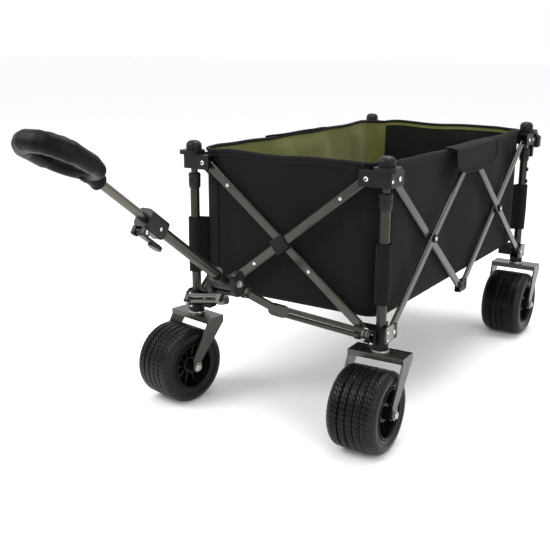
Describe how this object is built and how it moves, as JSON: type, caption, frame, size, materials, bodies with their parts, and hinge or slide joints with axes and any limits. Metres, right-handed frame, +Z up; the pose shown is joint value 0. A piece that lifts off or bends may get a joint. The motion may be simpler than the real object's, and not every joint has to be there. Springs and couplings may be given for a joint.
{
  "type": "folding camp wagon",
  "caption": "Four-wheel fabric wagon on a scissor frame that gathers inwards to fold, with swivel front casters, a draw bar and a telescoping loop handle.",
  "frame": {"origin": "on the ground, midway between the four corner posts", "axes": "+X to the right of the wagon, +Y towards its rear, +Z up; the handle points to -Y"},
  "size_m": [0.6534, 1.6956, 0.7169],
  "materials": {
    "hub_plastic": "moulded, satin",
    "inner_tube_metal": "satin",
    "post_metal": "satin powder coat",
    "bar_metal": "satin powder coat",
    "joint_plastic": "moulded",
    "tyre_rubber": "ribbed tread",
    "rim_plastic": "moulded",
    "fork_metal": "satin powder coat",
    "draw_arm_metal": "satin powder coat",
    "handle_plastic": "moulded",
    "handle_metal": "satin",
    "handle_bright_metal": "satin",
    "grip_rubber": "soft moulded",
    "wall_fabric": "woven, olive lining",
    "floor_fabric": "woven"
  },
  "bodies": {
    "front_left_post": {"outer_tube_front_left": "post_metal", "bottom_hub_front_left": "hub_plastic"},
    "front_left_head": {"top_hub_front_left": "hub_plastic", "inner_tube_front_left": "inner_tube_metal", "tub_wall_left": "wall_fabric", "tub_wall_front": "wall_fabric", "tub_floor_front": "floor_fabric"},
    "front_right_post": {"outer_tube_front_right": "post_metal", "bottom_hub_front_right": "hub_plastic"},
    "front_right_head": {"top_hub_front_right": "hub_plastic", "inner_tube_front_right": "inner_tube_metal", "tub_wall_right": "wall_fabric"},
    "rear_left_post": {"outer_tube_rear_left": "post_metal", "bottom_hub_rear_left": "hub_plastic", "fork_rear_left": "fork_metal"},
    "rear_left_head": {"top_hub_rear_left": "hub_plastic", "inner_tube_rear_left": "inner_tube_metal", "tub_wall_rear": "wall_fabric", "tub_floor_rear": "floor_fabric"},
    "rear_right_post": {"outer_tube_rear_right": "post_metal", "bottom_hub_rear_right": "hub_plastic", "fork_rear_right": "fork_metal"},
    "rear_right_head": {"top_hub_rear_right": "hub_plastic", "inner_tube_rear_right": "inner_tube_metal"},
    "front_left_caster": {"fork_front_left": "fork_metal"},
    "front_right_caster": {"fork_front_right": "fork_metal"},
    "front_left_wheel": {"tyre_front_left": "tyre_rubber", "rim_front_left": "rim_plastic"},
    "front_right_wheel": {"tyre_front_right": "tyre_rubber", "rim_front_right": "rim_plastic"},
    "rear_left_wheel": {"tyre_rear_left": "tyre_rubber", "rim_rear_left": "rim_plastic"},
    "rear_right_wheel": {"tyre_rear_right": "tyre_rubber", "rim_rear_right": "rim_plastic"},
    "front_bar_outer": {"front_bar_outer": "bar_metal"},
    "front_bar_inner": {"front_bar_inner": "bar_metal"},
    "rear_bar_outer": {"rear_bar_outer": "bar_metal"},
    "rear_bar_inner": {"rear_bar_inner": "bar_metal"},
    "left_front_bar_outer": {"left_front_bar_outer": "bar_metal"},
    "left_front_bar_inner": {"left_front_bar_inner": "bar_metal"},
    "left_rear_bar_outer": {"left_rear_bar_outer": "bar_metal"},
    "left_rear_bar_inner": {"left_rear_bar_inner": "bar_metal"},
    "left_upper_joint": {"left_upper_joint": "joint_plastic", "tub_floor_middle": "floor_fabric"},
    "left_lower_joint": {"left_lower_joint": "joint_plastic"},
    "draw_arm_left": {"draw_arm_left": "draw_arm_metal"},
    "right_front_bar_outer": {"right_front_bar_outer": "bar_metal"},
    "right_front_bar_inner": {"right_front_bar_inner": "bar_metal"},
    "right_rear_bar_outer": {"right_rear_bar_outer": "bar_metal"},
    "right_rear_bar_inner": {"right_rear_bar_inner": "bar_metal"},
    "right_upper_joint": {"right_upper_joint": "joint_plastic"},
    "right_lower_joint": {"right_lower_joint": "joint_plastic"},
    "draw_arm_right": {"draw_arm_right": "draw_arm_metal"},
    "draw_bar_hub": {"draw_bar_hub": "handle_plastic"},
    "handle_low": {"handle_knuckle": "handle_plastic", "handle_lower_tube": "handle_metal", "handle_clamp": "handle_plastic"},
    "handle_lever": {"clamp_lever": "handle_plastic"},
    "handle_high": {"handle_upper_tube": "handle_bright_metal", "handle_grip": "grip_rubber"}
  },
  "joints": [
    {"name": "fold", "type": "hinge", "parent": "front_left_post", "child": "front_bar_outer", "pos_m": [-0.212, -0.4703, 0.243], "axis": [0, -1, 0], "range_deg": [0, 37.85], "deforming": ["tub_wall_left", "tub_wall_right", "tub_wall_front", "tub_wall_rear", "tub_floor_front", "tub_floor_middle", "tub_floor_rear"]},
    {"name": "front_cross", "type": "hinge", "parent": "front_bar_outer", "child": "front_bar_inner", "pos_m": [0, -0.466, 0.4095], "axis": [0, -1, 0], "range_deg": [-75.71, 0]},
    {"name": "front_right_low", "type": "hinge", "parent": "front_bar_inner", "child": "front_right_post", "pos_m": [0.212, -0.4617, 0.243], "axis": [0, -1, 0], "range_deg": [0, 37.86]},
    {"name": "front_right_high", "type": "hinge", "parent": "front_bar_outer", "child": "front_right_head", "pos_m": [0.212, -0.4703, 0.576], "axis": [0, -1, 0], "range_deg": [-37.86, 0]},
    {"name": "front_left_high", "type": "hinge", "parent": "front_bar_inner", "child": "front_left_head", "pos_m": [-0.212, -0.4617, 0.576], "axis": [0, -1, 0], "range_deg": [0, 37.86]},
    {"name": "left_front_low", "type": "hinge", "parent": "front_left_post", "child": "left_front_bar_outer", "pos_m": [-0.2603, -0.436, 0.243], "axis": [1, 0, 0], "range_deg": [0, 37.86]},
    {"name": "left_front_cross", "type": "hinge", "parent": "left_front_bar_outer", "child": "left_front_bar_inner", "pos_m": [-0.256, -0.224, 0.4095], "axis": [1, 0, 0], "range_deg": [-75.71, 0]},
    {"name": "left_upper_mid", "type": "hinge", "parent": "left_front_bar_outer", "child": "left_upper_joint", "pos_m": [-0.2603, -0.012, 0.576], "axis": [1, 0, 0], "range_deg": [-37.86, 0]},
    {"name": "left_lower_mid", "type": "hinge", "parent": "left_front_bar_inner", "child": "left_lower_joint", "pos_m": [-0.2517, -0.012, 0.243], "axis": [1, 0, 0], "range_deg": [0, 37.86]},
    {"name": "left_rear_mid", "type": "hinge", "parent": "left_upper_joint", "child": "left_rear_bar_outer", "pos_m": [-0.2603, 0.012, 0.576], "axis": [1, 0, 0], "range_deg": [-37.86, 0]},
    {"name": "left_rear_cross", "type": "hinge", "parent": "left_rear_bar_outer", "child": "left_rear_bar_inner", "pos_m": [-0.256, 0.224, 0.4095], "axis": [1, 0, 0], "range_deg": [0, 75.71]},
    {"name": "left_rear_high", "type": "hinge", "parent": "left_rear_bar_inner", "child": "rear_left_head", "pos_m": [-0.2517, 0.436, 0.576], "axis": [1, 0, 0], "range_deg": [-37.86, 0]},
    {"name": "left_rear_low", "type": "hinge", "parent": "left_rear_bar_outer", "child": "rear_left_post", "pos_m": [-0.2603, 0.436, 0.243], "axis": [1, 0, 0], "range_deg": [0, 37.86]},
    {"name": "right_front_low", "type": "hinge", "parent": "front_right_post", "child": "right_front_bar_outer", "pos_m": [0.2603, -0.436, 0.243], "axis": [1, 0, 0], "range_deg": [0, 37.86]},
    {"name": "right_front_cross", "type": "hinge", "parent": "right_front_bar_outer", "child": "right_front_bar_inner", "pos_m": [0.256, -0.224, 0.4095], "axis": [1, 0, 0], "range_deg": [-75.71, 0]},
    {"name": "right_upper_mid", "type": "hinge", "parent": "right_front_bar_outer", "child": "right_upper_joint", "pos_m": [0.2603, -0.012, 0.576], "axis": [1, 0, 0], "range_deg": [-37.86, 0]},
    {"name": "right_lower_mid", "type": "hinge", "parent": "right_front_bar_inner", "child": "right_lower_joint", "pos_m": [0.2517, -0.012, 0.243], "axis": [1, 0, 0], "range_deg": [0, 37.86]},
    {"name": "rear_end_low", "type": "hinge", "parent": "rear_left_post", "child": "rear_bar_inner", "pos_m": [-0.212, 0.4617, 0.243], "axis": [0, -1, 0], "range_deg": [0, 37.86]},
    {"name": "rear_cross", "type": "hinge", "parent": "rear_bar_inner", "child": "rear_bar_outer", "pos_m": [0, 0.466, 0.4095], "axis": [0, -1, 0], "range_deg": [-75.71, 0]},
    {"name": "rear_right_low", "type": "hinge", "parent": "rear_bar_outer", "child": "rear_right_post", "pos_m": [0.212, 0.4703, 0.243], "axis": [0, -1, 0], "range_deg": [0, 37.86]},
    {"name": "right_rear_low", "type": "hinge", "parent": "rear_right_post", "child": "right_rear_bar_outer", "pos_m": [0.2603, 0.436, 0.243], "axis": [1, 0, 0], "range_deg": [-37.86, 0]},
    {"name": "right_rear_cross", "type": "hinge", "parent": "right_rear_bar_outer", "child": "right_rear_bar_inner", "pos_m": [0.256, 0.224, 0.4095], "axis": [1, 0, 0], "range_deg": [0, 75.71]},
    {"name": "right_rear_high", "type": "hinge", "parent": "right_rear_bar_inner", "child": "rear_right_head", "pos_m": [0.2517, 0.436, 0.576], "axis": [1, 0, 0], "range_deg": [-37.86, 0]},
    {"name": "draw_arm_left_swing", "type": "hinge", "parent": "front_left_post", "child": "draw_arm_left", "pos_m": [-0.236, -0.509, 0.252], "axis": [0, -0.5592, -0.829], "range_deg": [0, 37.86]},
    {"name": "draw_arm_right_swing", "type": "hinge", "parent": "front_right_post", "child": "draw_arm_right", "pos_m": [0.236, -0.509, 0.252], "axis": [0, 0.5592, 0.829], "range_deg": [0, 37.86]},
    {"name": "draw_bar_level", "type": "hinge", "parent": "draw_arm_left", "child": "draw_bar_hub", "pos_m": [-0.024, -0.64703, 0.34511], "axis": [0, -0.5592, -0.829], "range_deg": [-37.86, 0]},
    {"name": "handle_tilt", "type": "hinge", "parent": "draw_bar_hub", "child": "handle_low", "pos_m": [0, -0.68103, 0.37111], "axis": [-1, 0, 0], "range_deg": [-66, 54]},
    {"name": "clamp_flip", "type": "hinge", "parent": "handle_low", "child": "handle_lever", "pos_m": [0, -0.93196, 0.52251], "axis": [-1, 0, 0], "range_deg": [0, 75]},
    {"name": "handle_extend", "type": "slide", "parent": "handle_low", "child": "handle_high", "axis": [0, -0.809, 0.5878], "range_m": [-0.1, 0.06]},
    {"name": "front_left_swivel", "type": "hinge", "parent": "front_left_post", "child": "front_left_caster", "pos_m": [-0.25, -0.46, 0.204], "axis": [0, 0, 1], "continuous": true},
    {"name": "front_left_roll", "type": "hinge", "parent": "front_left_caster", "child": "front_left_wheel", "pos_m": [-0.26042, -0.51909, 0.091], "axis": [0.9848, -0.1736, 0], "continuous": true},
    {"name": "front_right_swivel", "type": "hinge", "parent": "front_right_post", "child": "front_right_caster", "pos_m": [0.25, -0.46, 0.204], "axis": [0, 0, 1], "continuous": true},
    {"name": "front_right_roll", "type": "hinge", "parent": "front_right_caster", "child": "front_right_wheel", "pos_m": [0.25209, -0.51996, 0.091], "axis": [0.9994, 0.0349, 0], "continuous": true},
    {"name": "rear_left_roll", "type": "hinge", "parent": "rear_left_post", "child": "rear_left_wheel", "pos_m": [-0.25, 0.42, 0.091], "axis": [1, 0, 0], "continuous": true},
    {"name": "rear_right_roll", "type": "hinge", "parent": "rear_right_post", "child": "rear_right_wheel", "pos_m": [0.25, 0.42, 0.091], "axis": [1, 0, 0], "continuous": true}
  ],
  "couplings": [
    {"joint": "front_cross", "follows": "fold", "ratio": -2},
    {"joint": "front_right_low", "follows": "fold", "ratio": 1},
    {"joint": "front_right_high", "follows": "fold", "ratio": -1},
    {"joint": "front_left_high", "follows": "fold", "ratio": 1},
    {"joint": "left_front_low", "follows": "fold", "ratio": 1},
    {"joint": "left_front_cross", "follows": "fold", "ratio": -2},
    {"joint": "left_upper_mid", "follows": "fold", "ratio": -1},
    {"joint": "left_lower_mid", "follows": "fold", "ratio": 1},
    {"joint": "left_rear_mid", "follows": "fold", "ratio": -1},
    {"joint": "left_rear_cross", "follows": "fold", "ratio": 2},
    {"joint": "left_rear_high", "follows": "fold", "ratio": -1},
    {"joint": "left_rear_low", "follows": "fold", "ratio": 1},
    {"joint": "right_front_low", "follows": "fold", "ratio": 1},
    {"joint": "right_front_cross", "follows": "fold", "ratio": -2},
    {"joint": "right_upper_mid", "follows": "fold", "ratio": -1},
    {"joint": "right_lower_mid", "follows": "fold", "ratio": 1},
    {"joint": "rear_end_low", "follows": "fold", "ratio": 1},
    {"joint": "rear_cross", "follows": "fold", "ratio": -2},
    {"joint": "rear_right_low", "follows": "fold", "ratio": 1},
    {"joint": "right_rear_low", "follows": "fold", "ratio": -1},
    {"joint": "right_rear_cross", "follows": "fold", "ratio": 2},
    {"joint": "right_rear_high", "follows": "fold", "ratio": -1},
    {"joint": "draw_arm_left_swing", "follows": "fold", "ratio": 1},
    {"joint": "draw_arm_right_swing", "follows": "fold", "ratio": 1},
    {"joint": "draw_bar_level", "follows": "fold", "ratio": -1}
  ]
}
